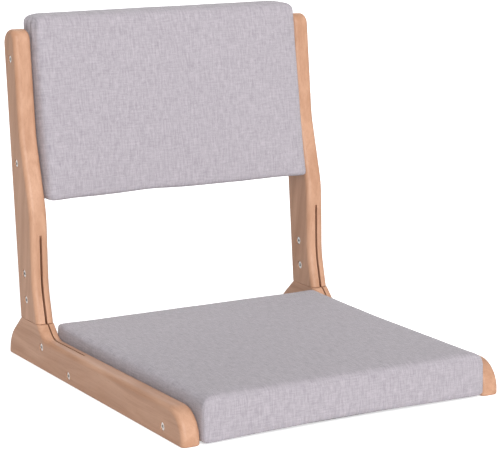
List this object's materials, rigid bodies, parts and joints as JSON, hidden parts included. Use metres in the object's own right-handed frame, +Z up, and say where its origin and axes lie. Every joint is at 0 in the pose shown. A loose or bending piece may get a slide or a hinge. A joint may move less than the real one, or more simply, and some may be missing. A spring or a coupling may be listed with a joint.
{
  "type": "folding floor chair",
  "caption": "Legless floor chair: padded seat between two beech floor rails, padded backrest on curved posts that fold forward over the seat.",
  "frame": {"origin": "middle of the chair's width and depth, on the floor", "axes": "+X across the chair, to the right seen from the front; +Y from the seat's front edge to the back; +Z up"},
  "size_m": [0.45, 0.512, 0.4605],
  "materials": {
    "beech_wood": "satin lacquered light beech",
    "frame_wood": "sawn pine, unfinished",
    "plywood": "raw plywood",
    "foam": "open-cell polyurethane foam",
    "linen_weave": "lilac-grey melange linen weave",
    "dust_cloth": "black spunbond cloth",
    "hinge_steel": "zinc-plated steel sheet",
    "fastener_steel": "nickel-plated steel"
  },
  "bodies": {
    "base": {"left_base_rail": "beech_wood", "right_base_rail": "beech_wood", "seat_front_rail": "frame_wood", "seat_rear_rail": "frame_wood", "seat_left_rail": "frame_wood", "seat_right_rail": "frame_wood", "seat_middle_slat": "frame_wood", "seat_deck": "plywood", "seat_foam": "foam", "seat_cover": "linen_weave", "seat_dust_cover": "dust_cloth", "seat_staples": "fastener_steel", "left_seat_bolts": "fastener_steel", "right_seat_bolts": "fastener_steel", "left_seat_inserts": "fastener_steel", "right_seat_inserts": "fastener_steel", "left_pivot_bolt": "fastener_steel", "right_pivot_bolt": "fastener_steel", "left_pivot_sleeve": "fastener_steel", "right_pivot_sleeve": "fastener_steel"},
    "back": {"left_back_post": "beech_wood", "right_back_post": "beech_wood", "left_hinge_plate": "hinge_steel", "right_hinge_plate": "hinge_steel", "left_plate_bolts": "fastener_steel", "right_plate_bolts": "fastener_steel", "left_plate_nuts": "fastener_steel", "right_plate_nuts": "fastener_steel", "backrest_board": "plywood", "backrest_foam": "foam", "backrest_cover": "linen_weave", "backrest_rear_panel": "linen_weave", "backrest_staples": "fastener_steel", "left_backrest_bolts": "fastener_steel", "right_backrest_bolts": "fastener_steel", "left_backrest_inserts": "fastener_steel", "right_backrest_inserts": "fastener_steel"}
  },
  "joints": [
    {"name": "back_fold", "type": "hinge", "parent": "base", "child": "back", "pos_m": [0, 0.1465, 0.0305], "axis": [1, 0, 0], "range_deg": [0, 85]}
  ]
}
